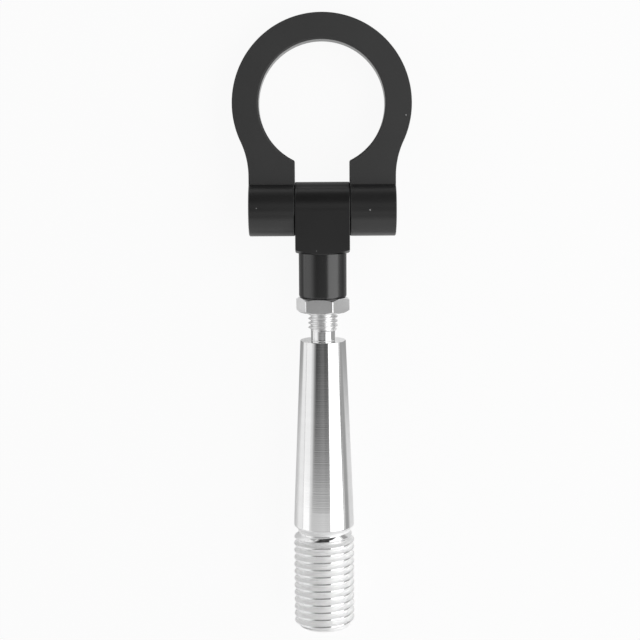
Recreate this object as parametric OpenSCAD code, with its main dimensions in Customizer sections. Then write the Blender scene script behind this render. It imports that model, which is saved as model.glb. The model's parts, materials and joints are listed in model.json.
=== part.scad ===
/* [Ring plate] */
// Outer diameter of the ring
ring_od = 59.3; // [54:0.1:70]
// Diameter of the towing hole
ring_id = 41.7; // [34:0.1:45]
// Thickness of the plate
plate_t = 8; // [6:0.5:10]
// Distance from the hinge axis to the ring's centre
ring_reach = 34.7; // [33:0.1:42]
// Width across the two ears
ear_span = 48.7; // [44:0.1:52]
// Radius that blends the ring into the ears
ear_fillet_r = 27; // [15:1:32]
// Chamfer on both rims of the towing hole
bore_chamfer = 0.6; // [0.2:0.1:1]

/* [Hinge] */
// Diameter of the knuckles and of the block's round top
knuckle_d = 18; // [16:0.5:20]
// Width of the hinge block between the ears
block_w = 18; // [16:0.5:20]
// Gap between the block and each ear
ear_gap = 0.12; // [0.05:0.01:0.3]
// Diameter of the hinge bolt
bolt_d = 8; // [6:1:8]
// Length of the hinge bolt under its head
bolt_len = 35; // [32:1:38]
// Diameter of the bolt's head
bolt_head_d = 13; // [11:0.5:13]
// Height of the bolt's head
bolt_head_h = 8; // [6:0.5:9]
// Width across the flats of the hex socket in the head
bolt_socket_af = 6; // [4:1:6]
// Depth of the hex socket
bolt_socket_depth = 4; // [3:0.5:5]
// Radial clearance of the bolt in the block's bore
hinge_clear = 0.05; // [0.02:0.01:0.1]
// Radial clearance of the head in its counterbore
head_clear = 0.25; // [0.15:0.05:0.5]
// How deep the head sits below the ear's end face
head_sink = 0.6; // [0.2:0.1:1]

/* [Head] */
// Length of the square block below the hinge axis
block_len = 14.5; // [13:0.5:18]
// Diameter at which the turned chamfer meets the block's end
block_end_d = 17.6; // [16.4:0.1:17.8]
// Angle of the turned chamfer to the end plane
block_chamfer_a = 22; // [15:1:35]
// Diameter of the round neck
neck_d = 16; // [14:0.5:16]
// Length of the round neck
neck_len = 15; // [12:0.1:20]
// Rounding of the neck's lower edge
neck_edge_r = 0.8; // [0.4:0.1:1.5]
// Depth of the threaded hole in the neck
socket_depth = 17; // [14:0.5:19]

/* [Jam nut] */
// Width across the flats
nut_af = 15.8; // [15:0.1:17]
// Height of the nut
nut_h = 5; // [4:0.5:6]
// Turn of the nut's corners about the stud
nut_turn = 21; // [0:1:60]

/* [Shank] */
// Nominal diameter of the stud's thread
stud_d = 10; // [9:0.5:10.5]
// Pitch of the stud's thread
stud_pitch = 1.5; // [1:0.25:1.75]
// Length of the stud inside the head
stud_in_head = 14.5; // [12:0.5:16]
// Bare length of stud between the nut and the shoulder
stud_bare = 9.6; // [7:0.1:12]
// Length of the smooth neck at the shoulder
relief_len = 3.1; // [2:0.1:4]
// Diameter of the shank at the shoulder
cone_small_d = 15.3; // [14:0.1:18]
// Diameter of the shank at its thick end
cone_big_d = 20.5; // [19:0.1:23]
// Length of the taper with its land
cone_len = 63.9; // [50:0.1:80]
// Length of the flatter land at the taper's thick end
land_len = 6.4; // [4:0.1:12]
// Diameter where the taper runs into the land
land_small_d = 20.1; // [18:0.1:21]
// Length of the chamfer from the land to the relief groove
cone_chamfer = 1.4; // [0.5:0.1:1.6]
// Width of the relief groove's floor
groove_w = 0.8; // [0.5:0.1:3]

/* [Car thread] */
// Outer diameter of the coarse thread
thread_d = 20.6; // [19:0.1:23]
// Pitch of the coarse thread
thread_pitch = 2.5; // [2:0.25:3]
// Length of the coarse thread
thread_len = 33.6; // [25:0.1:40]
// Chamfer at the free end
tip_chamfer = 1.9; // [1:0.1:2.2]
// Height of the chamfer where the thread starts
start_chamfer = 1.3; // [0.3:0.1:1.4]
// Slope of that chamfer to the axis
start_chamfer_a = 30; // [20:5:45]

/* [Hidden] */
$fn = 96;
// overshoot of every cut past the face that it opens
over = 1;
// radial play of a screwed pair, drawn as plain walls
screw_clear = 0.02;
// how far a cut stud stays under its nominal radius
stud_under = 0.05;
// how far inside its flats the nut's end faces begin
nut_face_inset = 0.15;
// steps of a thread's helix in one turn
thread_steps = 36;
// where the first crest crosses the bolt's direction, past the thread's start
thread_phase = 0.7;
// a 60 degree thread: depth and flat width at the root, as shares of the pitch
thread_depth_share = 0.57;
flank_a = 30;

knuckle_r = knuckle_d / 2;
slot_w = block_w + 2 * ear_gap;
ring_r = ring_od / 2;
bore_r = ring_id / 2;
ear_x = ear_span / 2;
bolt_r = bolt_d / 2;
stud_r = stud_d / 2 - stud_under;
thread_r = thread_d / 2;
thread_depth = thread_pitch * thread_depth_share;
stud_depth = stud_pitch * thread_depth_share;
groove_r = thread_r - thread_depth - screw_clear;
relief_r = stud_r - stud_depth - screw_clear;

// stations along the shank, measured from the hinge axis
neck_end = block_len + neck_len;
nut_end = neck_end + nut_h;
stud_tip = neck_end - stud_in_head;
shoulder = nut_end + stud_bare;
relief_start = shoulder - relief_len;
cone_end = shoulder + cone_len;
groove_start = cone_end + cone_chamfer;
thread_start = groove_start + groove_w;
start_len = start_chamfer / tan(start_chamfer_a);
shank_end = thread_start + thread_len;
land_start = cone_end - land_len;
tip_r = thread_r - tip_chamfer;

// centre of the blend between ring and ear, and where it meets the ring
fillet_x = ear_x + ear_fillet_r;
fillet_drop = sqrt(pow(ring_r + ear_fillet_r, 2) - pow(fillet_x, 2));
fillet_share = ring_r / (ring_r + ear_fillet_r);

// it lies on its knuckles, on the thick end of its taper and on the ring's far edge
shank_tilt = atan2(cone_big_d / 2, cone_end)
    - asin(knuckle_r / norm([cone_big_d / 2, cone_end]));
ring_far = ring_reach + ring_r;
ring_drop = asin(knuckle_r / norm([ring_far, plate_t / 2])) - atan2(plate_t / 2, ring_far);
far_y = ring_far * cos(ring_drop) + plate_t / 2 * sin(ring_drop);
near_y = shank_end * cos(shank_tilt) + tip_r * sin(shank_tilt);
centre_y = (near_y - far_y) / 2;

// local Z runs down the shank from the hinge axis
module on_shank() {
    translate([0, centre_y, knuckle_r]) rotate([90 - shank_tilt, 0, 0]) children();
}

// local Y runs from the hinge axis to the ring, Z is the plate's normal
module on_ring() {
    translate([0, centre_y, knuckle_r]) rotate([-ring_drop, 0, 0]) children();
}

module along_x(from, to, r) {
    translate([from, 0, 0]) rotate([0, 90, 0]) cylinder(h = to - from, r = r);
}

// one cross-section of a thread's groove at a turn of a degrees
function groove_ring(a, z, root_r, top_r, root_w, top_w) = [
    for (p = [[root_r, -root_w / 2], [top_r, -top_w / 2], [top_r, top_w / 2], [root_r, root_w / 2]])
        [p[0] * cos(a), p[0] * sin(a), z + p[1]]
];

// the groove of a right-hand thread, as the tool that cuts it sweeps it
module thread_cut(r, pitch, depth, from, to) {
    root_r = r - depth;
    top_r = r + over / 2;
    crest_w = pitch / 8;
    root_w = pitch - crest_w - 2 * depth * tan(flank_a);
    top_w = root_w + 2 * (top_r - root_r) * tan(flank_a);
    n = ceil((to - from) / pitch * thread_steps);
    rings = [
        for (i = [0:n])
            groove_ring(i * 360 / thread_steps, from + i * pitch / thread_steps,
                root_r, top_r, root_w, top_w)
    ];
    sides = [
        for (i = [0:n - 1]) for (k = [0:3])
            let (j = (k + 1) % 4)
                [4 * i + k, 4 * i + j, 4 * i + 4 + j, 4 * i + 4 + k]
    ];
    polyhedron(
        points = [for (ring = rings) each ring],
        faces = concat([[3, 2, 1, 0]], sides, [[for (k = [0:3]) 4 * n + k]]),
        convexity = 10
    );
}

// turns what is drawn on the upper face over to the lower one
module facing(side) {
    if (side > 0) children();
    else mirror([0, 0, 1]) children();
}

module ring_blend(side) {
    tangent = [side * fillet_x * fillet_share, ring_reach - fillet_drop * fillet_share];
    difference() {
        linear_extrude(plate_t, center = true)
            polygon([
                [0, ring_reach],
                tangent,
                [side * fillet_x, ring_reach - fillet_drop],
                [side * ear_x, ring_reach - fillet_drop],
                [0, ring_reach - fillet_drop]
            ]);
        translate([side * fillet_x, ring_reach - fillet_drop, 0])
            cylinder(h = plate_t + 2 * over, r = ear_fillet_r, center = true);
    }
}

module tow_ring() {
    color("#2b2b2d") on_ring() difference() {
        union() {
            translate([0, ring_reach, 0]) cylinder(h = plate_t, r = ring_r, center = true);
            translate([-ear_x, 0, -plate_t / 2])
                cube([ear_span, ring_reach - fillet_drop, plate_t]);
            for (side = [-1, 1]) ring_blend(side);
            along_x(-ear_x, ear_x, knuckle_r);
        }
        translate([-slot_w / 2, -knuckle_r - over, -knuckle_r - over])
            cube([slot_w, ring_reach + knuckle_r + over, knuckle_d + 2 * over]);
        translate([0, ring_reach, 0]) {
            cylinder(h = plate_t + 2 * over, r = bore_r, center = true);
            for (side = [-1, 1]) facing(side)
                translate([0, 0, plate_t / 2 - bore_chamfer])
                    cylinder(h = bore_chamfer + over, r1 = bore_r, r2 = bore_r + bore_chamfer + over);
        }
        along_x(-ear_x - over, 0, bolt_r + screw_clear);
        along_x(0, ear_x, bolt_r + hinge_clear);
        along_x(ear_x - head_sink - bolt_head_h, ear_x + over, bolt_head_d / 2 + head_clear);
    }
}

module block_body() {
    intersection() {
        union() {
            along_x(-block_w / 2, block_w / 2, knuckle_r);
            translate([-block_w / 2, -knuckle_r, 0]) cube([block_w, knuckle_d, block_len]);
        }
        rotate_extrude() {
            corner_r = norm([block_w / 2, knuckle_r]) + over;
            rise = (corner_r - block_end_d / 2) * tan(block_chamfer_a);
            polygon([
                [0, -corner_r],
                [corner_r, -corner_r],
                [corner_r, block_len - rise],
                [block_end_d / 2, block_len],
                [0, block_len]
            ]);
        }
    }
}

// its lower rim is rounded by a circle set into the corner
module neck() {
    flat_r = neck_d / 2 - neck_edge_r;
    rotate_extrude() {
        translate([0, block_len - over]) square([flat_r, neck_len + over]);
        translate([0, block_len - over]) square([neck_d / 2, neck_len + over - neck_edge_r]);
        translate([flat_r, neck_end - neck_edge_r]) circle(neck_edge_r);
    }
}

module hinge_block() {
    color("#232325") on_shank() difference() {
        union() {
            block_body();
            neck();
        }
        along_x(-block_w / 2 - over, block_w / 2 + over, bolt_r + hinge_clear);
        translate([0, 0, neck_end - socket_depth])
            cylinder(h = socket_depth + over, r = stud_r + screw_clear);
    }
}

module hinge_bolt() {
    head_x = ear_x - head_sink - bolt_head_h;
    color("#3a3a3c") on_ring() difference() {
        union() {
            along_x(head_x - bolt_len, head_x, bolt_r);
            along_x(head_x, head_x + bolt_head_h, bolt_head_d / 2);
        }
        translate([head_x + bolt_head_h - bolt_socket_depth, 0, 0]) rotate([0, 90, 0])
            cylinder(h = bolt_socket_depth + over, d = bolt_socket_af / cos(30), $fn = 6);
    }
}

module jam_nut() {
    corner_r = nut_af / 2 / cos(30);
    edge_r = nut_af / 2 - nut_face_inset;
    rise = (corner_r + over - edge_r) * tan(flank_a);
    color("#c9cacc") on_shank() translate([0, 0, neck_end]) difference() {
        intersection() {
            rotate([0, 0, 90 - nut_turn]) cylinder(h = nut_h, r = corner_r, $fn = 6);
            rotate_extrude()
                polygon([
                    [0, 0],
                    [edge_r, 0],
                    [corner_r + over, rise],
                    [corner_r + over, nut_h - rise],
                    [edge_r, nut_h],
                    [0, nut_h]
                ]);
        }
        translate([0, 0, -over]) cylinder(h = nut_h + 2 * over, r = stud_r + screw_clear);
    }
}

module shank_blank() {
    rotate_extrude()
        polygon([
            [0, stud_tip],
            [stud_r - stud_depth, stud_tip],
            [stud_r, stud_tip + stud_depth],
            [stud_r, relief_start - stud_depth],
            [relief_r, relief_start],
            [relief_r, shoulder],
            [cone_small_d / 2, shoulder],
            [land_small_d / 2, land_start],
            [cone_big_d / 2, cone_end],
            [groove_r, groove_start],
            [groove_r, thread_start],
            [thread_r - start_chamfer, thread_start],
            [thread_r, thread_start + start_len],
            [thread_r, shank_end - tip_chamfer],
            [tip_r, shank_end],
            [0, shank_end]
        ]);
}

module shank() {
    color("#d6d7d9") on_shank() difference() {
        shank_blank();
        thread_cut(thread_r, thread_pitch, thread_depth,
            thread_start + thread_phase - 1.5 * thread_pitch, shank_end + thread_pitch);
    }
}

tow_ring();
hinge_block();
hinge_bolt();
jam_nut();
shank();
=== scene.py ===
# %% [markdown]
# # A folding tow eye
# A tow eye is screwed into a car's bumper so that a rope or shackle can pull on it.
# This one has a flat black ring that folds on a hinge block. A jam nut locks the block
# on a bright shank, which was turned on a lathe from one bar and ends in a coarse thread.
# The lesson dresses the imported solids: every piece is made again here at the same size,
# with the small edge breaks, threads and finishes that the plain solids don't have.

# %% Load the frame
import json
import math

import bmesh
import bpy
from mathutils import Matrix, Vector


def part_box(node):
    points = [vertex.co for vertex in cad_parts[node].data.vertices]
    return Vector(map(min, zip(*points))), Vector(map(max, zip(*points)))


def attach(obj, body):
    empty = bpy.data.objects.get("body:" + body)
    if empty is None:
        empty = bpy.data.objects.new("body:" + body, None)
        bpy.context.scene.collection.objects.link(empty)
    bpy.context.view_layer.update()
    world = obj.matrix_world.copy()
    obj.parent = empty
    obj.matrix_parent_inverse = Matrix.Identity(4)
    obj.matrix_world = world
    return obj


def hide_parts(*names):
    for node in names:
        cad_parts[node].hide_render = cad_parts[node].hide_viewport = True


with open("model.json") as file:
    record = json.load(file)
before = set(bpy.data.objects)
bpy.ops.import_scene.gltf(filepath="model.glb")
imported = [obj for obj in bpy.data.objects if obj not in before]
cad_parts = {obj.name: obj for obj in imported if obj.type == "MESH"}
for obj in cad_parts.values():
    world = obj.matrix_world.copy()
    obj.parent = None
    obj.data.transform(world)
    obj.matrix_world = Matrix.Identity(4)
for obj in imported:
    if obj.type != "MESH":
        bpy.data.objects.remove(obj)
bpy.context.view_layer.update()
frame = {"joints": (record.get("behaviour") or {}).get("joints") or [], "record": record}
record = frame["record"]

# %% [markdown]
# ## Two drawing boards
# The tow eye lies on a table, so its shank and its ring are both slightly tilted.
# It is far easier to draw each part upright and to lay it down at the end.
# The hinge gives the common origin. The turning axis of the head gives the shank's
# board, whose Z runs down the shank. The towing hole gives the ring's board, whose
# Y runs from the hinge to the ring's centre. Both are worked out from the frame.

# %% Boards of the shank and the ring
MM = 0.001
MM_PER_M = 1000.0
joints = {joint["name"]: joint for joint in frame["joints"]}
mounts = {mount["name"]: mount for mount in record["mounts"]}
hinge_point = Vector(joints["ring_fold"]["pos_m"])
hinge_axis = Vector(joints["ring_fold"]["axis"]).normalized()
shank_axis = Vector(joints["head_turn"]["axis"]).normalized()
ring_normal = Vector(mounts["tow_hole"]["axis"]).normalized()
ring_centre = Vector(mounts["tow_hole"]["pos_m"])


def board(x_axis, z_axis):
    """A matrix from millimetres on a drawing board to metres in the frame."""
    y_axis = z_axis.cross(x_axis).normalized()
    turn = Matrix((x_axis, y_axis, z_axis)).transposed().to_4x4()
    return Matrix.Translation(hinge_point) @ turn @ Matrix.Scale(MM, 4)


shank_board = board(hinge_axis, shank_axis)
ring_board = board(hinge_axis, ring_normal)
ring_reach = (ring_board.inverted() @ ring_centre).y
print("ring centre on its board, mm:", round(ring_reach, 2))

# %% [markdown]
# ## The sizes
# These are the driving sizes of the real thing, in millimetres. Stations along the
# shank are counted from the hinge axis, as a turner would read them from a drawing.

# %% Driving sizes
# The plate, its ears and the knuckles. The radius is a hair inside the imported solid's.
ring_r = 29.64
bore_r = mounts["tow_hole"]["dims"]["r_mm"]
bore_chamfer = 0.6
plate_t = 8.0
ear_x = 24.35
ear_fillet_r = 27.0
ear_gap = 0.12
knuckle_r = 9.0

# The hinge bolt and its seat in the right knuckle.
bolt_r = 4.0
bolt_len = 35.0
bolt_head_r = 6.5
bolt_head_h = 8.0
hinge_clear = 0.05
head_clear = 0.25
head_sink = 0.6

# The hinge block and its neck.
block_x = 9.0
block_end = 14.5
block_end_r = 8.8
block_chamfer_a = math.radians(22)
neck_r = 8.0
neck_end = 29.5
neck_edge_r = 0.8

# The nut and the stud.
nut_af = 15.8
nut_h = 5.0
nut_turn = math.radians(21)
stud_r = 4.95
stud_pitch = 1.5
stud_tip = 15.0
relief_start = 41.0

# The shoulder, the taper with its land, and the groove.
shoulder = 44.1
cone_small_r = 7.65
land_start = 101.6
land_small_r = 10.05
cone_end = 108.0
cone_big_r = 10.25
cone_chamfer = 1.4
groove_w = 0.8

# The coarse thread. Its depth is a share of the pitch, the stud's thread too.
thread_r = mounts["car_thread"]["dims"]["r_mm"]
thread_pitch = 2.5
thread_len = 33.6
thread_phase = 0.7
start_chamfer = 1.3
start_chamfer_a = math.radians(30)
tip_chamfer = 1.9
depth_share = 0.57

# Sizes that follow from the ones above.
nut_end = neck_end + nut_h
groove_start = cone_end + cone_chamfer
thread_start = groove_start + groove_w
shank_end = thread_start + thread_len
thread_root_r = thread_r - thread_pitch * depth_share
stud_root_r = stud_r - stud_pitch * depth_share
slot_x = block_x + ear_gap
hole_r = bolt_r + hinge_clear
print("shank ends at station", round(shank_end, 2))

# %% [markdown]
# ## Small tools of the workshop
# Each piece is a mesh in millimetres on its board, laid into the frame when it is
# finished. A lathe turns a profile of radius and station into a solid. An edge break
# is what a machinist does with a file: without it, edges would be razors and would
# catch no light. Shading turns sharp where two faces meet at more than a set angle.

# %% Mesh helpers
LATHE_STEPS = 128
MERGE_MM = 0.0005


def new_mesh(name, points, faces):
    """A mesh from plain lists of points and of faces."""
    mesh = bpy.data.meshes.new(name)
    mesh.from_pydata([tuple(p) for p in points], [], faces)
    mesh.validate()
    mesh.update()
    return mesh


def new_object(name, mesh):
    """Puts a mesh, lamp or camera into the scene."""
    thing = bpy.data.objects.new(name, mesh)
    bpy.context.scene.collection.objects.link(thing)
    return thing


def recalculate_normals(mesh):
    """Merges points that coincide and turns every face outwards."""
    bm = bmesh.new()
    bm.from_mesh(mesh)
    bmesh.ops.remove_doubles(bm, verts=bm.verts, dist=MERGE_MM)
    bmesh.ops.recalc_face_normals(bm, faces=bm.faces)
    bm.to_mesh(mesh)
    bm.free()


def smooth_by_angle(mesh, degrees):
    """Shades smooth, apart from edges that turn by more than the angle."""
    bm = bmesh.new()
    bm.from_mesh(mesh)
    limit = math.radians(degrees)
    for face in bm.faces:
        face.smooth = True
    for edge in bm.edges:
        edge.smooth = edge.calc_face_angle(math.pi) < limit
    bm.to_mesh(mesh)
    bm.free()


def lathe(name, profile, along="z", steps=LATHE_STEPS):
    """Turns an open or closed profile of (radius, station) about a board axis."""
    rows = len(profile)
    points = []
    for step in range(steps):
        angle = 2 * math.pi * step / steps
        for radius, station in profile:
            a, b = radius * math.cos(angle), radius * math.sin(angle)
            points.append((a, b, station) if along == "z" else (station, a, b))
    faces = []
    for step in range(steps):
        here, there = step * rows, (step + 1) % steps * rows
        for row in range(rows - 1):
            faces.append((here + row, there + row, there + row + 1, here + row + 1))
    mesh = new_mesh(name, points, faces)
    recalculate_normals(mesh)
    return new_object(name, mesh)


def prism(name, outline, low, high, along="z"):
    """Extrudes a closed outline between two heights."""
    count = len(outline)

    def place(u, v, height):
        return (u, v, height) if along == "z" else (height, u, v)

    points = [place(u, v, low) for u, v in outline] + [place(u, v, high) for u, v in outline]
    faces = [tuple(range(count)), tuple(range(count, 2 * count))]
    for i in range(count):
        j = (i + 1) % count
        faces.append((i, j, count + j, count + i))
    mesh = new_mesh(name, points, faces)
    recalculate_normals(mesh)
    return new_object(name, mesh)


def arc(centre, radius, start, end, steps):
    """Points on a circle between two angles in radians."""
    angles = [start + (end - start) * i / steps for i in range(steps + 1)]
    return [(centre[0] + radius * math.cos(a), centre[1] + radius * math.sin(a)) for a in angles]


def apply_modifiers(thing):
    """Replaces an object's mesh by what its modifiers make of it."""
    bpy.context.view_layer.update()
    graph = bpy.context.evaluated_depsgraph_get()
    made = bpy.data.meshes.new_from_object(thing.evaluated_get(graph))
    thing.modifiers.clear()
    thing.data = made
    return thing


def combine(thing, tool, operation):
    """Cuts, keeps or adds a tool's volume, and deletes the tool."""
    step = thing.modifiers.new(operation.lower(), "BOOLEAN")
    step.operation = operation
    step.solver = "EXACT"
    step.object = tool
    apply_modifiers(thing)
    bpy.data.objects.remove(tool)
    return thing


def break_edges(thing, width, degrees=35, segments=3):
    """Rounds every edge sharper than the angle."""
    step = thing.modifiers.new("edge break", "BEVEL")
    step.width = width
    step.segments = segments
    step.limit_method = "ANGLE"
    step.angle_limit = math.radians(degrees)
    step.use_clamp_overlap = True
    apply_modifiers(thing)
    return thing


def join(name, things):
    """Puts several meshes of one piece into one object."""
    bm = bmesh.new()
    for thing in things:
        bm.from_mesh(thing.data)
        bpy.data.objects.remove(thing)
    mesh = bpy.data.meshes.new(name)
    bm.to_mesh(mesh)
    bm.free()
    return new_object(name, mesh)


def finish_piece(thing, name, on_board, body, node, material, smooth=32, flat_faces=True):
    """Lays a piece into the frame in place of its plain solid.

    With flat_faces, large faces keep their own normal where they meet an edge break.
    """
    thing.name = name
    thing.data.transform(on_board)
    smooth_by_angle(thing.data, smooth)
    if flat_faces:
        flatten = thing.modifiers.new("true flats", "WEIGHTED_NORMAL")
        flatten.keep_sharp = True
        apply_modifiers(thing)
    thing.data.name = name
    thing.data.materials.clear()
    thing.data.materials.append(material)
    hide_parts(node)
    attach(thing, body)
    low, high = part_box(node)
    print(name, "faces", len(thing.data.polygons), "solid's box, mm",
          [round(MM_PER_M * (top - bottom), 2) for bottom, top in zip(low, high)])
    return thing


print("a full turn on the lathe has", LATHE_STEPS, "steps")

# %% [markdown]
# ## The camera
# The photograph was taken from above, a little to the ring's side, so the shank is
# seen more and more from its upper end as it runs away. The ring is almost flat to
# the view. The lens is a short telephoto, given here as a focal length in pixels.

# %% Camera
PHOTO_SIZE = 640
FOCAL_PX = 1450
camera_height = 0.492
camera_side = 0.0365
camera_tilt = math.radians(8.7)
camera_x = -0.001
camera_roll = math.radians(-0.33)

camera_data = bpy.data.cameras.new("camera")
camera_data.sensor_width = 36
camera_data.lens = camera_data.sensor_width * FOCAL_PX / PHOTO_SIZE
camera_data.clip_start = 0.01
camera_data.clip_end = 20
camera = new_object("camera", camera_data)
camera.location = (camera_x, hinge_point.y + camera_side, camera_height)
camera.rotation_euler = (
    Matrix.Rotation(-camera_tilt, 3, "X") @ Matrix.Rotation(camera_roll, 3, "Z")
).to_euler()
bpy.context.scene.camera = camera
print("lens, mm:", round(camera_data.lens, 2))

# %% [markdown]
# ## Small tools for node trees
# The room, the finishes and the threads are node trees, which are chains of small sums.
# They could be drawn by hand in the node editor, but these helpers write them down as
# one writes a formula. Most chains need one of two things: a soft step between two
# limits, or a run of greys through set stops.

# %% Node helpers
def add(tree, kind, **settings):
    """Adds a node and sets its properties."""
    node = tree.nodes.new(kind)
    for key, value in settings.items():
        setattr(node, key, value)
    return node


def feed(tree, source, target):
    """Links a node's output to an input, or writes a plain value there."""
    if isinstance(source, bpy.types.NodeSocket):
        tree.links.new(source, target)
    else:
        target.default_value = source


def maths(tree, operation, first, second=0.0, third=None):
    """One sum on node outputs or plain numbers."""
    node = add(tree, "ShaderNodeMath", operation=operation)
    feed(tree, first, node.inputs[0])
    feed(tree, second, node.inputs[1])
    if third is not None:
        feed(tree, third, node.inputs[2])
    return node.outputs[0]


def between(tree, value, low, high):
    """A smooth step from 0 to 1 between two limits, or a step down if they are swapped."""
    node = add(tree, "ShaderNodeMapRange", interpolation_type="SMOOTHSTEP")
    feed(tree, value, node.inputs["Value"])
    node.inputs["From Min"].default_value = low
    node.inputs["From Max"].default_value = high
    return node.outputs[0]


def blend(tree, share, low, high):
    """Runs from low to high as the share goes from 0 to 1."""
    return maths(tree, "MULTIPLY_ADD", maths(tree, "SUBTRACT", high, low), share, low)


def ramp(tree, value, stops):
    """A smooth run of greys through (position, grey) stops."""
    node = add(tree, "ShaderNodeValToRGB")
    node.color_ramp.interpolation = "EASE"
    band = node.color_ramp.elements
    while len(band) < len(stops):
        band.new(0.5)
    for element, (position, grey) in zip(band, stops):
        element.position = position
        element.color = (grey, grey, grey, 1)
    feed(tree, value, node.inputs[0])
    return node.outputs[0]


FULL_TURN = 360


def angle_ramp(tree, degrees, stops):
    """A run of greys through (degrees, grey) stops between -180 and 180."""
    share = maths(tree, "MULTIPLY_ADD", degrees, 1 / FULL_TURN, 0.5)
    return ramp(tree, share, [(stop / FULL_TURN + 0.5, grey) for stop, grey in stops])


print("angles run over", FULL_TURN, "degrees")

# %% [markdown]
# ## Light
# Bright turned metal has hardly any colour of its own: what one sees is the room.
# The photograph shows two long soft boxes, one on each side of the shank, and a dark
# gap overhead where the camera hangs. Two area lamps are the soft boxes. Each is given
# by the angles that it fills as the shank sees it, in degrees from overhead.

# %% Soft boxes
SOFTBOX_DISTANCE = 0.62
SOFTBOX_LENGTH = 1.5
SHANK_HEIGHT = 0.01


def softbox(name, from_deg, to_deg, radiance):
    """A long lamp that fills the given angles about the shank."""
    middle = math.radians((from_deg + to_deg) / 2)
    half = math.radians(abs(to_deg - from_deg) / 2)
    width = 2 * SOFTBOX_DISTANCE * math.tan(half)
    lamp = bpy.data.lights.new(name, "AREA")
    lamp.shape = "RECTANGLE"
    lamp.size = width
    lamp.size_y = SOFTBOX_LENGTH
    lamp.energy = radiance * math.pi * width * SOFTBOX_LENGTH
    thing = new_object(name, lamp)
    thing.location = (
        SOFTBOX_DISTANCE * math.sin(middle),
        0,
        SHANK_HEIGHT + SOFTBOX_DISTANCE * math.cos(middle),
    )
    thing.rotation_euler = (0, middle, 0)
    print(name, "width, m:", round(width, 3), "watts:", round(lamp.energy, 2))
    return thing


softbox("softbox_right", from_deg=25, to_deg=79, radiance=1.4)
softbox("softbox_left", from_deg=-58, to_deg=-88, radiance=0.5)

# %% [markdown]
# ## The room
# Walls and a ceiling could be modelled, but only their tones are ever seen, mirrored in
# the part. So they are the world's colour, given by two angles in degrees. One runs
# lengthwise, from overhead towards the thread's end. The other runs across, from
# overhead to the right. The tones follow what the photograph shows on the taper, the
# neck and the knuckles. The ceiling is dark overhead and pale farther along, and the
# walls are pale at the sides.

# %% World
BAND_END = (15.8, 16.6)
PAST_BAND = 0.3
world = bpy.data.worlds.new("studio")
bpy.context.scene.world = world
world.use_nodes = True
sky = world.node_tree
sky.nodes.clear()
direction = add(sky, "ShaderNodeNewGeometry").outputs["Incoming"]
split = add(sky, "ShaderNodeSeparateXYZ")
feed(sky, direction, split.inputs[0])
towards_x = maths(sky, "MULTIPLY", split.outputs["X"], -1.0)
upwards = maths(sky, "MULTIPLY", split.outputs["Z"], -1.0)
across = maths(sky, "DEGREES", maths(sky, "ARCTAN2", towards_x, upwards))
lengthwise = maths(sky, "DEGREES", maths(sky, "ARCSINE", split.outputs["Y"]))
overhead = angle_ramp(sky, lengthwise, [
    (-90, 0.5), (-75, 0.08), (-50, 0.05), (-33, 0.05), (-27, 0.25), (-10, 0.22),
    (0, 0.07), (4, 0.11), (8, 0.24), (10, 0.47), (11.6, 0.66), (25, 0.70),
    (32, 0.75), (42, 2.1), (90, 2.2)])
gap_tone = angle_ramp(sky, across, [
    (-40, 0.4), (-30, 0.55), (-20, 0.8), (-8, 1.2), (0, 1.3), (8, 0.95), (13, 0.85), (25, 1.3)])
gap_weight = angle_ramp(sky, lengthwise, [(4, 1.0), (10, 0.1)])
camera_gap = maths(sky, "MULTIPLY_ADD", maths(sky, "SUBTRACT", gap_tone, 1.0), gap_weight, 1.0)
walls = angle_ramp(sky, across, [
    (-100, 0.45), (-60, 0.42), (-56, 0.80), (-50, 0.64), (-41, 0.28), (-31, 0.0),
    (25, 0.0), (95, 0.25)])
low_glow = maths(sky, "MULTIPLY",
                 angle_ramp(sky, across, [(76, 0.0), (80, 0.85), (90, 0.8), (96, 0.0)]),
                 angle_ramp(sky, lengthwise, [(5, 1.0), (9, 0.0)]))
room_light = add(sky, "ShaderNodeBackground")
past_band = blend(sky, between(sky, lengthwise, *BAND_END), 1.0, PAST_BAND)
ceiling = maths(sky, "MULTIPLY", maths(sky, "MULTIPLY", overhead, camera_gap), past_band)
sides = maths(sky, "MAXIMUM", walls, low_glow)
feed(sky, maths(sky, "MAXIMUM", ceiling, sides), room_light.inputs["Color"])
feed(sky, room_light.outputs[0], add(sky, "ShaderNodeOutputWorld").inputs[0])
print("world nodes:", len(sky.nodes))

# %% [markdown]
# ## The floor
# The part lies on a white sheet. For the camera the sheet is almost pure white, and it
# keeps the part's shadow. What mirrors in the metal has painted light and shade: the
# sheet is painted paler to the far left, painted dark past the right, and given a painted
# shadow close beside the shank's thin end. A painted picture of the sheet would do that
# too, but a few masks in the floor's own metres are easier to move.

# %% Floor
FLOOR_HALF = 3.0
FLOOR_DROP = 0.0002
SHEET_WHITE = 0.85
WHITE_FOR_CAMERA = 0.93
WHITE_IN_METAL = 0.35
# Painted light: the metal mirrors a whiter sheet far to the left.
PAINTED_LIGHT_WHITE = 0.75
SHADE_GREY = 0.25
SHADE_SHARE = 0.8
# Where the painted light far to the left begins, in metres.
PAINTED_LIGHT_LEFT_X = (-0.02, -0.045)
# Where the painted shade past the right begins, in metres.
PAINTED_SHADE_RIGHT_X = (0.03, 0.06)
# Where the painted shadow beside the shank's thin end lies, in metres.
SHADOW_FROM_Y = (-0.05, -0.002)
SHADOW_TO_Y = (0.0035, 0.001)
SHADOW_CLEAR_OF_AXIS = (0.008, 0.010)
SHADOW_FROM_X = (-0.045, -0.025)

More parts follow.
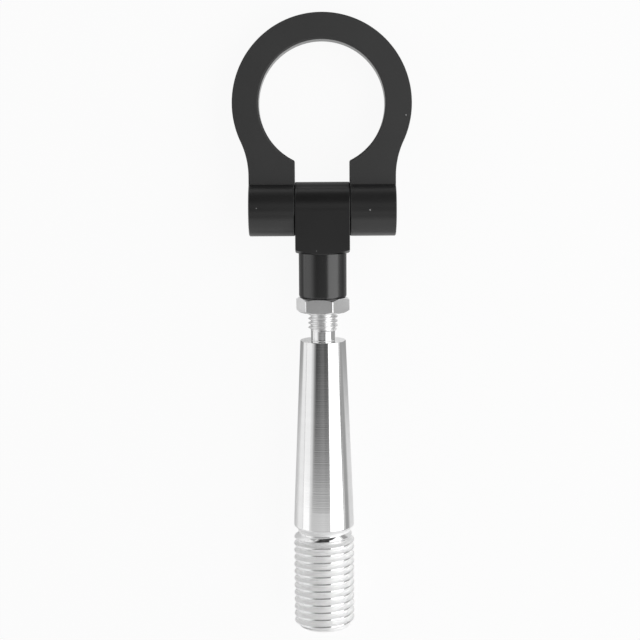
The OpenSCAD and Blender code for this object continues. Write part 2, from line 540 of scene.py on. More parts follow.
floor = new_object("floor", new_mesh(
    "floor",
    [(-FLOOR_HALF, -FLOOR_HALF, 0), (FLOOR_HALF, -FLOOR_HALF, 0),
     (FLOOR_HALF, FLOOR_HALF, 0), (-FLOOR_HALF, FLOOR_HALF, 0)],
    [(0, 1, 2, 3)]))
floor.location.z = -FLOOR_DROP
floor_paint = bpy.data.materials.new("white_floor")
floor_paint.use_nodes = True
paint = floor_paint.node_tree
paint.nodes.clear()
path = add(paint, "ShaderNodeLightPath")
for_camera = path.outputs["Is Camera Ray"]
in_metal = maths(paint, "MAXIMUM", path.outputs["Is Glossy Ray"], path.outputs["Is Transmission Ray"])
sheet_place = add(paint, "ShaderNodeSeparateXYZ")
feed(paint, add(paint, "ShaderNodeTexCoord").outputs["Object"], sheet_place.inputs[0])
sheet_x, sheet_y = sheet_place.outputs["X"], sheet_place.outputs["Y"]
# Painted shade: the metal mirrors a darker sheet past the right.
painted_shade_right = between(paint, sheet_x, *PAINTED_SHADE_RIGHT_X)
# Painted light: the metal mirrors a paler sheet far to the left.
painted_light_left = between(paint, sheet_x, *PAINTED_LIGHT_LEFT_X)
# Painted shadow: the metal mirrors a darker sheet beside the shank's thin end.
shadow_along_shank = maths(paint, "MULTIPLY", between(paint, sheet_y, *SHADOW_FROM_Y),
                       between(paint, sheet_y, *SHADOW_TO_Y))
shadow_beside_axis = maths(paint, "MULTIPLY",
                    between(paint, maths(paint, "ABSOLUTE", sheet_x), *SHADOW_CLEAR_OF_AXIS),
                    between(paint, sheet_x, *SHADOW_FROM_X))
painted_shadow_thin_end = maths(paint, "MULTIPLY", shadow_along_shank, shadow_beside_axis)


def plain_shader(kind, grey):
    """A diffuse or emission shader of one grey."""
    node = add(paint, kind)
    node.inputs["Color"].default_value = (grey, grey, grey, 1)
    return node.outputs[0]


def mix_shaders(share, first, second):
    """Runs from the first shader to the second as the share goes from 0 to 1."""
    node = add(paint, "ShaderNodeMixShader")
    for source, target in zip((share, first, second), node.inputs):
        feed(paint, source, target)
    return node.outputs[0]


white_share = maths(paint, "MAXIMUM", maths(paint, "MULTIPLY", for_camera, WHITE_FOR_CAMERA),
                    maths(paint, "MULTIPLY", in_metal,
                          blend(paint, painted_light_left, WHITE_IN_METAL, PAINTED_LIGHT_WHITE)))
# The painted shade past the right and the painted shadow share one dark grey.
shade_share = maths(paint, "MULTIPLY", in_metal, maths(
    paint, "MULTIPLY", maths(paint, "MAXIMUM", painted_shade_right, painted_shadow_thin_end), SHADE_SHARE))
sheet = mix_shaders(white_share, plain_shader("ShaderNodeBsdfDiffuse", SHEET_WHITE),
                    plain_shader("ShaderNodeEmission", 1.0))
shaded_sheet = mix_shaders(shade_share, sheet, plain_shader("ShaderNodeEmission", SHADE_GREY))
feed(paint, shaded_sheet, add(paint, "ShaderNodeOutputMaterial").inputs[0])
floor.data.materials.append(floor_paint)
bpy.context.scene.view_settings.view_transform = "Standard"
print("floor, m:", 2 * FLOOR_HALF, "nodes:", len(paint.nodes))

# %% [markdown]
# ## Shared effects
# Four effects come back in several finishes, so each is a node group. Place about an
# axis tells how far along and how far off a line a point lies, which is how a turner
# would say where a surface is. Turning marks are the fine rings that a lathe tool
# leaves around a bar. Grain is the slight mottling of an anodised skin. A speck is one
# grain of pale dust at a set place. Painted pictures could do all that, but formulas
# stay sharp at every size.

# %% Effect: place about an axis
CLOUD_SCALE = 90.0
BAND_SCALE = 0.25


def new_group(name, inputs, outputs):
    """An empty node group, with what is given to it and what it results in."""
    tree = bpy.data.node_groups.new(name, "ShaderNodeTree")
    for title, kind, value in inputs:
        socket = tree.interface.new_socket(name=title, in_out="INPUT", socket_type=kind)
        if value is not None:
            socket.default_value = value
    for title, kind in outputs:
        tree.interface.new_socket(name=title, in_out="OUTPUT", socket_type=kind)
    return tree, add(tree, "NodeGroupInput").outputs, add(tree, "NodeGroupOutput").inputs


def own_place(tree):
    """Where a point lies in the frame, in metres."""
    return add(tree, "ShaderNodeTexCoord").outputs["Object"]


def vectors(tree, operation, first, second=None):
    """A sum on vectors. It gives the node, as its result may be a vector or a value."""
    node = add(tree, "ShaderNodeVectorMath", operation=operation)
    feed(tree, first, node.inputs[0])
    if second is not None:
        feed(tree, second, node.inputs[1])
    return node


def noise(tree, kind, place, scale, detail):
    """Noise in space (3D) or along a line (1D)."""
    node = add(tree, "ShaderNodeTexNoise", noise_dimensions=kind)
    feed(tree, place, node.inputs["W" if kind == "1D" else "Vector"])
    feed(tree, scale, node.inputs["Scale"])
    node.inputs["Detail"].default_value = detail
    return node.outputs[0]


axis_place, given, result = new_group(
    "axis_place",
    [("Axis", "NodeSocketVector", tuple(shank_axis)),
     ("Origin", "NodeSocketVector", tuple(hinge_point))],
    [("Station", "NodeSocketFloat"), ("Radius", "NodeSocketFloat")])
from_origin = vectors(axis_place, "SUBTRACT", own_place(axis_place), given["Origin"]).outputs[0]
along_line = vectors(axis_place, "DOT_PRODUCT", from_origin, given["Axis"])
off_line = vectors(axis_place, "CROSS_PRODUCT", from_origin, given["Axis"])
off_length = vectors(axis_place, "LENGTH", off_line.outputs[0])
for metres, socket in ((along_line, "Station"), (off_length, "Radius")):
    feed(axis_place, maths(axis_place, "MULTIPLY", metres.outputs["Value"], MM_PER_M), result[socket])
print("group:", axis_place.name)

# %% Effect: turning marks
turning_marks, given, result = new_group(
    "turning_marks",
    [("Axis", "NodeSocketVector", tuple(shank_axis)), ("Lines per mm", "NodeSocketFloat", 2.0)],
    [("Height", "NodeSocketFloat"), ("Shade", "NodeSocketFloat")])
along_axis = vectors(turning_marks, "DOT_PRODUCT", own_place(turning_marks), given["Axis"])
station = maths(turning_marks, "MULTIPLY", along_axis.outputs["Value"], MM_PER_M)
counted = maths(turning_marks, "MULTIPLY", station, given["Lines per mm"])
feed(turning_marks, noise(turning_marks, "1D", counted, scale=1.0, detail=3.0), result["Height"])
feed(turning_marks, noise(turning_marks, "1D", station, scale=BAND_SCALE, detail=2.0),
     result["Shade"])
print("group:", turning_marks.name)

# %% Effect: anodised grain
anodised_grain, given, result = new_group(
    "anodised_grain",
    [("Grain per mm", "NodeSocketFloat", 6.0)],
    [("Height", "NodeSocketFloat"), ("Cloud", "NodeSocketFloat")])
place = own_place(anodised_grain)
per_metre = maths(anodised_grain, "MULTIPLY", given["Grain per mm"], MM_PER_M)
feed(anodised_grain, noise(anodised_grain, "3D", place, scale=per_metre, detail=2.0),
     result["Height"])
feed(anodised_grain, noise(anodised_grain, "3D", place, scale=CLOUD_SCALE, detail=3.0),
     result["Cloud"])
print("group:", anodised_grain.name)

# %% Effect: dust speck
dust_speck, given, result = new_group(
    "dust_speck",
    [("Centre", "NodeSocketVector", (0, 0, 0)), ("Size mm", "NodeSocketFloat", 0.3)],
    [("Mask", "NodeSocketFloat")])
apart = vectors(dust_speck, "DISTANCE", own_place(dust_speck), given["Centre"])
apart_mm = maths(dust_speck, "MULTIPLY", apart.outputs["Value"], MM_PER_M)
speck_r = maths(dust_speck, "MULTIPLY", given["Size mm"], 0.5)
feed(dust_speck, maths(dust_speck, "LESS_THAN", apart_mm, speck_r), result["Mask"])
print("group:", dust_speck.name)

# %% [markdown]
# ## Finishes
# Ring and head are black anodised aluminium. Their sawn flats are satin, what was
# turned is glossier, and the towing hole is polished. The shank is bright steel, with
# its lathe marks left on, and duller where the thread tool ran; there its colour is raised
# towards white, a painted sheen. The nut is plated and the bolt is blackened. Each face
# could have a material of its own, but one material with masks by place keeps a piece
# whole, as it would be after its bath.

# %% Finishes
CLOUD_IN_TONE = 0.14
CLOUD_IN_ROUGHNESS = 0.08
GRAIN_STRENGTH = 0.12
GRAIN_DEPTH = 0.00002
DUST_GREY = 0.35
BORE_ROUGHNESS = 0.1
EDGE_ON = (0.34, 0.48)
MARKS_IN_TONE = 0.03
MARK_DEPTH = 0.00003


def principled(name, colour, metallic, roughness):
    """A new material with its node tree and its shader."""
    material = bpy.data.materials.new(name)
    material.use_nodes = True
    tree = material.node_tree
    shader = tree.nodes["Principled BSDF"]
    shader.inputs["Base Color"].default_value = (*colour, 1)
    shader.inputs["Metallic"].default_value = metallic
    shader.inputs["Roughness"].default_value = roughness
    return material, tree, shader


def around(tree, value, middle, reach):
    """Spreads a 0 to 1 value evenly about a middle."""
    return maths(tree, "MULTIPLY_ADD", value, 2 * reach, middle - reach)


def grey_of(tree, value):
    """A colour with the same value in all three channels."""
    node = add(tree, "ShaderNodeCombineColor")
    for socket in node.inputs[:3]:
        feed(tree, value, socket)
    return node.outputs[0]


def use_group(tree, group, **values):
    """Adds a group node. A space in a socket's name is written as an underscore."""
    node = add(tree, "ShaderNodeGroup", node_tree=group)
    for key, value in values.items():
        feed(tree, value, node.inputs[key.replace("_", " ")])
    return node


def bump(tree, shader, height, strength, distance):
    """Lets a height field tilt the shading, without moving the surface."""
    node = add(tree, "ShaderNodeBump")
    node.inputs["Strength"].default_value = strength
    node.inputs["Distance"].default_value = distance
    feed(tree, height, node.inputs["Height"])
    feed(tree, node.outputs[0], shader.inputs["Normal"])


def anodised(name, gloss, satin, shine, is_satin, dust, is_bore=None, edge_shine=1.0):
    """Black anodised aluminium: satin on the sawn flats, glossier where it was turned.

    Gloss and satin are (grey, roughness). A mask is a function of the node tree.
    Edge_shine is the share of the shine that is left where the skin is seen edge-on.
    """
    material, tree, shader = principled(name, (satin[0],) * 3, 0.0, satin[1])
    grain = use_group(tree, anodised_grain)
    flat = is_satin(tree)
    grey = blend(tree, flat, gloss[0], satin[0])
    tone = maths(tree, "MULTIPLY", grey, around(tree, grain.outputs["Cloud"], 1.0, CLOUD_IN_TONE))
    for place, size in dust:
        mask = use_group(tree, dust_speck, Centre=place, Size_mm=size).outputs["Mask"]
        tone = blend(tree, mask, tone, DUST_GREY)
    feed(tree, grey_of(tree, tone), shader.inputs["Base Color"])
    rough = blend(tree, flat, gloss[1], satin[1])
    if is_bore is not None:
        rough = blend(tree, is_bore(tree), rough, BORE_ROUGHNESS)
    rough = maths(tree, "MULTIPLY", rough,
                  around(tree, grain.outputs["Cloud"], 1.0, CLOUD_IN_ROUGHNESS))
    feed(tree, rough, shader.inputs["Roughness"])
    bump(tree, shader, grain.outputs["Height"], GRAIN_STRENGTH, GRAIN_DEPTH)
    facing = add(tree, "ShaderNodeLayerWeight").outputs["Facing"]
    feed(tree, blend(tree, between(tree, facing, *EDGE_ON), shine, shine * edge_shine),
         shader.inputs["Specular IOR Level"])
    return material


def turned_metal(name, grey, roughness, lines_per_mm, strength):
    """Bright metal with the fine rings of the lathe."""
    material, tree, shader = principled(name, (grey, grey, grey), 1.0, roughness)
    marks = use_group(tree, turning_marks, Lines_per_mm=lines_per_mm)
    shade = marks.outputs["Shade"]
    feed(tree, grey_of(tree, around(tree, shade, grey, MARKS_IN_TONE)), shader.inputs["Base Color"])
    feed(tree, around(tree, shade, roughness, MARKS_IN_TONE), shader.inputs["Roughness"])
    bump(tree, shader, marks.outputs["Height"], strength, MARK_DEPTH)
    return material


# %% Masks and materials
# Where each mask steps up from 0 to 1, in millimetres along or off its axis.
PLATE_FROM = (7.9, 8.2)
BORE_WALL = (bore_r + 0.2, bore_r + 0.05)
BLOCK_TO = (block_end + 0.3, block_end - 0.1)
BELOW_CREST = (thread_r - 0.12, thread_r - 0.30)
FIRST_TURN_PAST = (thread_start + 2.0, thread_start + 2.6)
GROOVE_FROM = (cone_end + 0.05, cone_end + 0.2)
GROOVE_TO = (thread_start + 0.1, thread_start - 0.1)
STUD_TO = (relief_start, relief_start - 0.4)
STUD_DULL = 0.4

ring_along = ring_normal.cross(hinge_axis).normalized()

# Each speck of dust has its place in metres and its size in millimetres.
ring_dust = [
    ((0.0277, 0.0706, 0.0106), 0.45),
    ((0.0156, 0.0400, 0.0180), 0.5),
    ((-0.0216, 0.0407, 0.0180), 0.35),
]
block_dust = [((-0.0020, 0.0266, 0.0180), 0.4), ((-0.0057, 0.0463, 0.0155), 0.4)]


def plate_mask(tree):
    """The ring's flat plate, beyond the knuckles."""
    along = use_group(tree, axis_place, Axis=tuple(ring_along), Origin=tuple(hinge_point))
    return between(tree, along.outputs["Station"], *PLATE_FROM)


def bore_mask(tree):
    """The wall of the towing hole."""
    about = use_group(tree, axis_place, Axis=tuple(ring_normal), Origin=tuple(ring_centre))
    return between(tree, about.outputs["Radius"], *BORE_WALL)


def block_mask(tree):
    """The square block, above its neck."""
    return between(tree, use_group(tree, axis_place).outputs["Station"], *BLOCK_TO)


ring_finish = anodised(
    "black_anodised_ring", gloss=(0.015, 0.32), satin=(0.0212, 0.6), shine=0.8,
    is_satin=plate_mask, dust=ring_dust, is_bore=bore_mask)
block_finish = anodised(
    "black_anodised_block", gloss=(0.008, 0.23), satin=(0.0060, 0.28), shine=1.0,
    is_satin=block_mask, dust=block_dust, edge_shine=0.2)
bolt_finish = turned_metal("black_steel", grey=0.08, roughness=0.3, lines_per_mm=1.0, strength=0.1)
nut_finish = turned_metal("plated_nut", grey=0.97, roughness=0.27, lines_per_mm=0.6, strength=0.06)
shank_finish = turned_metal(
    "bright_turned_steel", grey=0.90, roughness=0.08, lines_per_mm=2.2, strength=0.16)


def roughen_and_sheen_flanks(material, flank_rough):
    """The thread tool leaves its flanks duller than the polished crests and taper.

    The groove is as dull as the flanks, and the stud's thread is less dull. All three also get a
    painted sheen: their colour is raised towards white.
    """
    tree = material.node_tree
    shader = tree.nodes["Principled BSDF"]
    polished = shader.inputs["Roughness"].links[0].from_socket
    where = use_group(tree, axis_place)
    station = where.outputs["Station"]
    on_flanks = maths(tree, "MULTIPLY", between(tree, where.outputs["Radius"], *BELOW_CREST),
                      between(tree, station, *FIRST_TURN_PAST))
    on_stud = maths(tree, "MULTIPLY", between(tree, station, *STUD_TO), STUD_DULL)
    in_groove = maths(tree, "MULTIPLY", between(tree, station, *GROOVE_FROM),
                      between(tree, station, *GROOVE_TO))
    flank = maths(tree, "MAXIMUM", on_stud, on_flanks)
    flank = maths(tree, "MAXIMUM", flank, in_groove)
    feed(tree, blend(tree, flank, polished, flank_rough), shader.inputs["Roughness"])
    # Painted sheen: the dull places are made paler, towards white.
    tone = shader.inputs["Base Color"].links[0].from_node.inputs[0].links[0].from_socket
    feed(tree, grey_of(tree, blend(tree, flank, tone, 1.0)), shader.inputs["Base Color"])


roughen_and_sheen_flanks(shank_finish, flank_rough=0.75)
print("materials:", sorted(material.name for material in bpy.data.materials))

# %% [markdown]
# ## Threads
# A thread is a ridge that climbs a cylinder. Real ones are cut by a tool that moves
# by one pitch a turn. Here a Geometry Nodes tree does the same: a spiral carries a
# trapezoid profile, and every point is then held inside the chamfers at both ends,
# because the chamfers were turned before the thread was cut. The same tree makes the
# coarse thread and the stud's. A screw modifier could wind a profile too, but it has
# no such limits at its ends.

# %% Thread tree
THREAD_INPUTS = [
    ("Pitch", "NodeSocketFloat", 2.5),
    ("Root radius", "NodeSocketFloat", 9.0),
    ("Crest radius", "NodeSocketFloat", 10.5),
    ("Root width", "NodeSocketFloat", 2.0),
    ("Crest width", "NodeSocketFloat", 0.3),
    ("Start", "NodeSocketFloat", 0.0),
    ("End", "NodeSocketFloat", 30.0),
    ("Start radius", "NodeSocketFloat", 9.0),
    ("End radius", "NodeSocketFloat", 9.0),
    ("Least radius", "NodeSocketFloat", 0.0),
    ("Start slope", "NodeSocketFloat", 1.0),
    ("Crest rounding", "NodeSocketFloat", 0.1),
    ("Phase", "NodeSocketFloat", 0.0),
    ("Steps", "NodeSocketInt", 72),
    ("Material", "NodeSocketMaterial", None),
]
LEAD_TURNS = 2.0
END_INSET = 0.03
ROUNDING_STEPS = 3

thread_tree = bpy.data.node_groups.new("thread_ridge", "GeometryNodeTree")
thread_tree.is_modifier = True
thread_tree.interface.new_socket(name="Geometry", in_out="INPUT", socket_type="NodeSocketGeometry")
for title, kind, value in THREAD_INPUTS:
    socket = thread_tree.interface.new_socket(name=title, in_out="INPUT", socket_type=kind)
    if value is not None:
        socket.default_value = value
thread_tree.interface.new_socket(name="Geometry", in_out="OUTPUT", socket_type="NodeSocketGeometry")

# The path: a spiral with a turn to spare at both ends.
tree = thread_tree
given = add(tree, "NodeGroupInput").outputs
ridge_length = maths(tree, "SUBTRACT", given["End"], given["Start"])
turns = maths(tree, "ADD", maths(tree, "DIVIDE", ridge_length, given["Pitch"]), LEAD_TURNS)
spiral = add(tree, "GeometryNodeCurveSpiral")
feed(tree, given["Steps"], spiral.inputs["Resolution"])
feed(tree, turns, spiral.inputs["Rotations"])
feed(tree, given["Root radius"], spiral.inputs["Start Radius"])
feed(tree, given["Root radius"], spiral.inputs["End Radius"])
feed(tree, maths(tree, "MULTIPLY", turns, given["Pitch"]), spiral.inputs["Height"])
spiral.inputs["Reverse"].default_value = True
upright = add(tree, "GeometryNodeSetCurveNormal", mode="Z_UP")
feed(tree, spiral.outputs[0], upright.inputs["Curve"])

# The profile: a trapezoid with rounded corners, turned to point outwards.
trapezoid = add(tree, "GeometryNodeCurvePrimitiveQuadrilateral", mode="TRAPEZOID")
height = maths(tree, "SUBTRACT", given["Crest radius"], given["Root radius"])
feed(tree, given["Root width"], trapezoid.inputs["Bottom Width"])
feed(tree, given["Crest width"], trapezoid.inputs["Top Width"])
feed(tree, 0.0, trapezoid.inputs["Offset"])
feed(tree, height, trapezoid.inputs["Height"])
lift = add(tree, "ShaderNodeCombineXYZ")
feed(tree, maths(tree, "MULTIPLY", height, 0.5), lift.inputs["X"])
rounded = add(tree, "GeometryNodeFilletCurve", mode="POLY")
feed(tree, trapezoid.outputs[0], rounded.inputs["Curve"])
feed(tree, given["Crest rounding"], rounded.inputs["Radius"])
rounded.inputs["Count"].default_value = ROUNDING_STEPS
rounded.inputs["Limit Radius"].default_value = True
turn_profile = add(tree, "GeometryNodeTransform")
feed(tree, rounded.outputs[0], turn_profile.inputs["Geometry"])
feed(tree, lift.outputs[0], turn_profile.inputs["Translation"])
turn_profile.inputs["Rotation"].default_value = (0, 0, -math.pi / 2)
sweep = add(tree, "GeometryNodeCurveToMesh")
feed(tree, upright.outputs[0], sweep.inputs["Curve"])
feed(tree, turn_profile.outputs[0], sweep.inputs["Profile Curve"])
sweep.inputs["Fill Caps"].default_value = True

# The limits: each point is drawn in to the chamfers and to the thread's two ends.
position = add(tree, "ShaderNodeSeparateXYZ")
feed(tree, add(tree, "GeometryNodeInputPosition").outputs[0], position.inputs[0])
x, y, z = position.outputs
radius = maths(tree, "SQRT", maths(tree, "ADD", maths(tree, "MULTIPLY", x, x),
                                   maths(tree, "MULTIPLY", y, y)))
z_shift = maths(tree, "ADD", given["Phase"], maths(tree, "SUBTRACT", given["Start"], given["Pitch"]))
z_placed = maths(tree, "ADD", z, z_shift)
past_start = maths(tree, "SUBTRACT", z_placed, given["Start"])
start_limit = maths(tree, "MULTIPLY_ADD", past_start, given["Start slope"], given["Start radius"])
to_end = maths(tree, "SUBTRACT", given["End"], z_placed)
end_limit = maths(tree, "ADD", given["End radius"], to_end)
held = maths(tree, "MINIMUM", radius, maths(tree, "MINIMUM", start_limit, end_limit))
held = maths(tree, "MAXIMUM", held, given["Least radius"])
share = maths(tree, "DIVIDE", held, radius)
first_z = maths(tree, "ADD", given["Start"], END_INSET)
last_z = maths(tree, "SUBTRACT", given["End"], END_INSET)
z_held = maths(tree, "MINIMUM", maths(tree, "MAXIMUM", z_placed, first_z), last_z)
placed = add(tree, "ShaderNodeCombineXYZ")
feed(tree, maths(tree, "MULTIPLY", x, share), placed.inputs["X"])
feed(tree, maths(tree, "MULTIPLY", y, share), placed.inputs["Y"])
feed(tree, z_held, placed.inputs["Z"])
hold = add(tree, "GeometryNodeSetPosition")
feed(tree, sweep.outputs[0], hold.inputs["Geometry"])
feed(tree, placed.outputs[0], hold.inputs["Position"])
real = add(tree, "GeometryNodeRealizeInstances")
feed(tree, hold.outputs[0], real.inputs[0])
dressed = add(tree, "GeometryNodeSetMaterial")
feed(tree, real.outputs[0], dressed.inputs["Geometry"])
feed(tree, given["Material"], dressed.inputs["Material"])
feed(tree, dressed.outputs[0], add(tree, "NodeGroupOutput").inputs[0])


def thread(name, material, **sizes):
    """Runs the thread tree once and returns a plain mesh on a board."""
    thing = new_object(name, bpy.data.meshes.new(name))
    step = thing.modifiers.new("thread", "NODES")
    step.node_group = thread_tree
    values = {**sizes, "Material": material}
    for item in thread_tree.interface.items_tree:
        if item.in_out == "INPUT" and item.name in values:
            step[item.identifier] = values[item.name]
    apply_modifiers(thing)
    print(name, "faces", len(thing.data.polygons))
    return thing


CREST_SHARE = 0.15
CREST_ROUNDING = 0.4


def ridge_sizes(pitch, root_r, crest_r):
    """A 60 degree ridge between two radii, with a rounded crest."""
    flank = abs(crest_r - root_r) * math.tan(math.radians(30))
    crest = pitch * CREST_SHARE
    return {"Pitch": pitch, "Root radius": root_r, "Crest radius": crest_r,
            "Crest width": crest, "Root width": crest + 2 * flank,
            "Crest rounding": crest * CREST_ROUNDING}


# %% [markdown]
# ## The shank
# One bar, turned in one setting: the stud, its smooth relief, the flat shoulder, the
# long taper, a relief groove and the coarse thread. The profile is drawn from the
# stud's tip to the free end. Every corner gets a tiny edge break in the profile
# itself, which is cleaner than bevelling a turned mesh afterwards.

# %% Shank
HOLDING_STEP = 1.4
MOST_OF_SIDE = 0.3


def eased(profile, reach=0.12):
    """Cuts each inner corner of a profile, with a holding point beside each cut.

    The holding points keep the shading of the long faces flat up to the edge. Each
    corner gives four points: two on the side before it, two on the side after it.
    """
    done = [profile[0]]
    for before, corner, after in zip(profile, profile[1:], profile[2:]):
        for other, steps in ((before, (HOLDING_STEP, 1.0)), (after, (1.0, HOLDING_STEP))):
            gap = math.dist(corner, other)
            for step in steps:
                share = min(reach, gap * MOST_OF_SIDE) * step / gap
                done.append((corner[0] + (other[0] - corner[0]) * share,
                             corner[1] + (other[1] - corner[1]) * share))
    done.append(profile[-1])
    return done


stud_depth = stud_r - stud_root_r
stud_tip_r = stud_root_r - stud_depth * 0.2
tip_r = thread_r - tip_chamfer
groove_r = thread_root_r - 0.02
shank_profile = eased([
    (0, stud_tip),
    (stud_tip_r, stud_tip),
    (stud_root_r, stud_tip + stud_depth),
    (stud_root_r, shoulder),
    (cone_small_r, shoulder),
    (land_small_r, land_start),
    (cone_big_r, cone_end),
    (groove_r, groove_start),
    (groove_r, thread_start),
    (thread_root_r, thread_start + 0.1),
    (thread_root_r, shank_end - tip_chamfer),
    (tip_r, shank_end),
    (0, shank_end),
])
bar = lathe("bar", shank_profile)

# The ridges start a little inside the bar, so that no gap shows at their roots.
embed = 0.25
coarse = thread("coarse_thread", shank_finish, **{
    **ridge_sizes(thread_pitch, thread_root_r - embed, thread_r),
    "Phase": thread_phase, "Start": thread_start, "End": shank_end,
    "Start radius": thread_r - start_chamfer, "Start slope": math.tan(start_chamfer_a),
    "End radius": tip_r, "Least radius": thread_root_r - 2 * embed, "Steps": 96})
fine_thread = thread("stud_thread", shank_finish, **{
    **ridge_sizes(stud_pitch, stud_root_r - embed / 2, stud_r),
    "Start": stud_tip, "End": relief_start,
    "Start radius": stud_root_r, "End radius": stud_root_r,
    "Least radius": stud_root_r - embed, "Steps": 64})
shank = join("shank_turned", [bar, coarse, fine_thread])
recalculate_normals(shank.data)
finish_piece(shank, "shank_turned", shank_board, "screw_shank", "shank",
             shank_finish, smooth=25, flat_faces=False)

# %% [markdown]
# ## The ring
# The plate is cut from flat bar: an outer circle runs through a hollow curve into two
# straight ears, and a slot between the ears opens into the towing hole. That outline
# is one closed line of arcs, so the plate is a plain extrusion with eased rims. The
# two round knuckles are turned, and the ears sink into their walls. The hole's rims
# are chamfered by a cutter that is turned to the chamfer's shape.

# %% Ring plate
ARC_STEPS = 48
PLATE_EDGE = 0.25
CUTTER_OVER = 0.3
fillet_x = ear_x + ear_fillet_r
fillet_drop = math.sqrt((ring_r + ear_fillet_r) ** 2 - fillet_x**2)
fillet_y = ring_reach - fillet_drop
tangent_a = math.atan2(-fillet_drop, fillet_x)
bore_a = math.asin(slot_x / bore_r)

# The ears' feet lie inside the knuckles' walls.
ear_foot = 7.4


def ring_outline():
    """The plate's outline, counter-clockwise, from the right ear's inner foot."""
    right = [(slot_x, ear_foot), (ear_x, ear_foot)]
    right += arc((fillet_x, fillet_y), ear_fillet_r, math.pi, math.pi + tangent_a, ARC_STEPS)[:-1]
    over_top = arc((0, ring_reach), ring_r, tangent_a, math.pi - tangent_a, 4 * ARC_STEPS)
    left = [(-x, y) for x, y in reversed(right)]
    inner = arc((0, ring_reach), bore_r, -math.pi / 2 - bore_a, -5 * math.pi / 2 + bore_a,
                4 * ARC_STEPS)
    return right + over_top + left + inner


plate = prism("plate", ring_outline(), -plate_t / 2, plate_t / 2)
break_edges(plate, PLATE_EDGE, degrees=50, segments=2)
rim_low = plate_t / 2 - bore_chamfer
rim_top = plate_t / 2 + CUTTER_OVER
for side in (1, -1):
    rim_cutter = lathe("rim_cutter", [
        (0, side * rim_low), (bore_r, side * rim_low),
        (bore_r + bore_chamfer + CUTTER_OVER, side * rim_top), (0, side * rim_top)])
    rim_cutter.data.transform(Matrix.Translation((0, ring_reach, 0)))
    combine(plate, rim_cutter, "DIFFERENCE")
print("plate faces", len(plate.data.polygons))

# %% Knuckles
counterbore_r = bolt_head_r + head_clear
head_floor = ear_x - head_sink - bolt_head_h
ease = 0.3


def knuckle_outside(side):
    """A knuckle's profile from its hole, over the inner face, to its outer face."""
    return [(hole_r, side * slot_x), (knuckle_r - ease, side * slot_x),
            (knuckle_r, side * (slot_x + ease)), (knuckle_r, side * (ear_x - ease)),
            (knuckle_r - ease, side * ear_x)]


right_knuckle = lathe("right_knuckle", knuckle_outside(1) + [
    (counterbore_r + ease, ear_x), (counterbore_r, ear_x - ease),
    (counterbore_r, head_floor), (hole_r, head_floor), (hole_r, slot_x)], along="x")
left_knuckle = lathe("left_knuckle", knuckle_outside(-1) + [
    (hole_r + ease, -ear_x), (hole_r, ease - ear_x), (hole_r, -slot_x)], along="x")
ring = join("tow_ring_plate", [plate, right_knuckle, left_knuckle])
finish_piece(ring, "tow_ring_plate", ring_board, "ring", "tow_ring",
             ring_finish)

# %% [markdown]
# ## The hinge block
# A square bar whose upper end is milled round about the hinge and whose lower end was
# first turned down to a neck. The lathe also chamfered the square's end, and a cone
# meets the flats in the curved lines that are seen above the neck. Here the square
# bar is cut to that cone, and a turned neck sinks into its end.

# %% Block and neck
BLOCK_EDGE = 0.22
NECK_SINK = 2
NECK_STEPS = 6

block_outline = [(-knuckle_r, 0), (-knuckle_r, -block_end)]
block_outline += [(knuckle_r, -block_end), (knuckle_r, 0)]
block_outline += arc((0, 0), knuckle_r, 0, math.pi, 64)[1:-1]
block = prism("block", [(y, -z) for y, z in block_outline], -block_x, block_x, along="x")
corner_r = math.hypot(block_x, knuckle_r) + 1
rise = (corner_r - block_end_r) * math.tan(block_chamfer_a)
cone = lathe("chamfer_cone", [
    (0, -corner_r), (corner_r, -corner_r), (corner_r, block_end - rise),
    (block_end_r, block_end), (0, block_end)])
combine(block, cone, "INTERSECT")
combine(block, lathe("hinge_bore", [
    (0, -block_x - 1), (hole_r, -block_x - 1), (hole_r, block_x + 1), (0, block_x + 1)],
    along="x"), "DIFFERENCE")
break_edges(block, BLOCK_EDGE, degrees=40, segments=2)
stud_hole_r = stud_r + 0.1
neck_profile = [(stud_hole_r, block_end - NECK_SINK), (neck_r, block_end - NECK_SINK)]
neck_profile += arc((neck_r - neck_edge_r, neck_end - neck_edge_r), neck_edge_r,
                    0, math.pi / 2, NECK_STEPS)
neck_profile += [(stud_hole_r + 0.2, neck_end), (stud_hole_r, neck_end - 0.2), neck_profile[0]]
neck = lathe("neck", neck_profile)
head = join("hinge_head", [block, neck])
finish_piece(head, "hinge_head", shank_board, "head", "hinge_block",
             block_finish)

# %% [markdown]
# ## The bolt and the nut
# The hinge bolt is a socket-head screw, sunk in the right knuckle and screwed into the
# left one. The nut is a hexagon whose two faces were chamfered on a lathe, which
# leaves a bright arc above and below each flat. Both start as a turned or drawn bar,
# and every cut is one that a machine would make.

# %% Hinge bolt
BOLT_EDGE = 0.12
TIP_EDGE = 1.0
UNDER_HEAD_EDGE = 0.2
HEAD_EDGE = 0.6
SOCKET_AF = 6.0
SOCKET_DEPTH = 4


def hexagon(corner_r, first_angle):
    """The six corners of a hexagon."""
    angles = [first_angle + math.pi / 3 * i for i in range(6)]
    return [(corner_r * math.cos(a), corner_r * math.sin(a)) for a in angles]


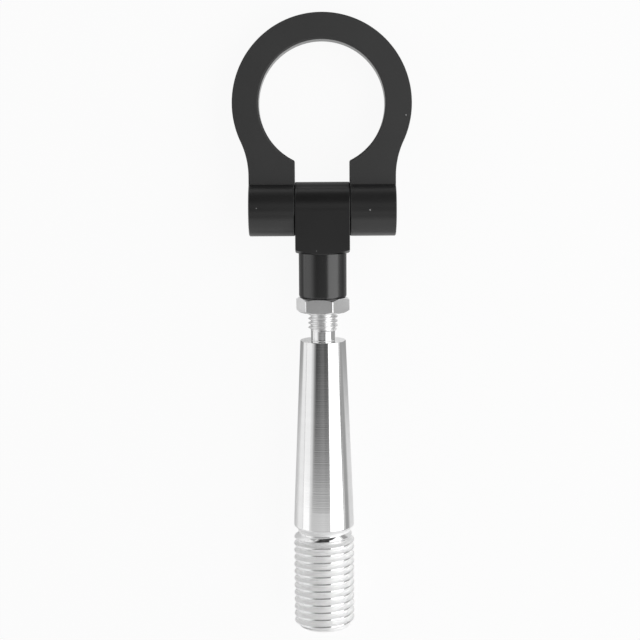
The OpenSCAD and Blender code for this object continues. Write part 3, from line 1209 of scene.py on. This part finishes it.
def corner_radius(across_flats):
    """From the size of a spanner to the radius of the corners."""
    return across_flats / 2 / math.cos(math.radians(30))


bolt_end = head_floor - bolt_len
bolt_top = head_floor + bolt_head_h
bolt = lathe("bolt_body", [
    (0, bolt_end), (bolt_r - 0.9 * TIP_EDGE, bolt_end),
    (bolt_r - 0.1 * TIP_EDGE, bolt_end + 0.8 * TIP_EDGE), (bolt_r, bolt_end + TIP_EDGE),
    (bolt_r, head_floor), (bolt_head_r - UNDER_HEAD_EDGE, head_floor),
    (bolt_head_r, head_floor + UNDER_HEAD_EDGE), (bolt_head_r, bolt_top - HEAD_EDGE),
    (bolt_head_r - HEAD_EDGE, bolt_top), (0, bolt_top)], along="x")
combine(bolt, prism("hex_socket", hexagon(corner_radius(SOCKET_AF), 0),
                    bolt_top - SOCKET_DEPTH, bolt_top + 1, along="x"), "DIFFERENCE")
break_edges(bolt, BOLT_EDGE, degrees=50, segments=2)
finish_piece(bolt, "hinge_bolt_socket_head", ring_board, "ring", "hinge_bolt",
             bolt_finish)

# %% Jam nut
NUT_EDGE = 0.3
NUT_OVER = 1

nut_corner_r = corner_radius(nut_af)
nut_out_r = nut_corner_r + NUT_OVER
nut_face_r = nut_af / 2 - 0.15
nut_hole_r = stud_r + 0.05
nut_rise = (nut_out_r - nut_face_r) * math.tan(math.radians(30))
nut = prism("hexagon", hexagon(nut_corner_r, math.pi / 2 - nut_turn), neck_end, nut_end)
break_edges(nut, NUT_EDGE, degrees=50, segments=3)
combine(nut, lathe("nut_chamfers", [
    (0, neck_end), (nut_face_r, neck_end), (nut_out_r, neck_end + nut_rise),
    (nut_out_r, nut_end - nut_rise), (nut_face_r, nut_end), (0, nut_end)]), "INTERSECT")
combine(nut, lathe("nut_hole", [
    (0, neck_end - NUT_OVER), (nut_hole_r, neck_end - NUT_OVER), (nut_hole_r, nut_end - 0.4),
    (nut_hole_r + 1, nut_end + 0.6), (0, nut_end + 0.6)]), "DIFFERENCE")
finish_piece(nut, "jam_nut_hexagon", shank_board, "screw_shank", "jam_nut",
             nut_finish, smooth=28)
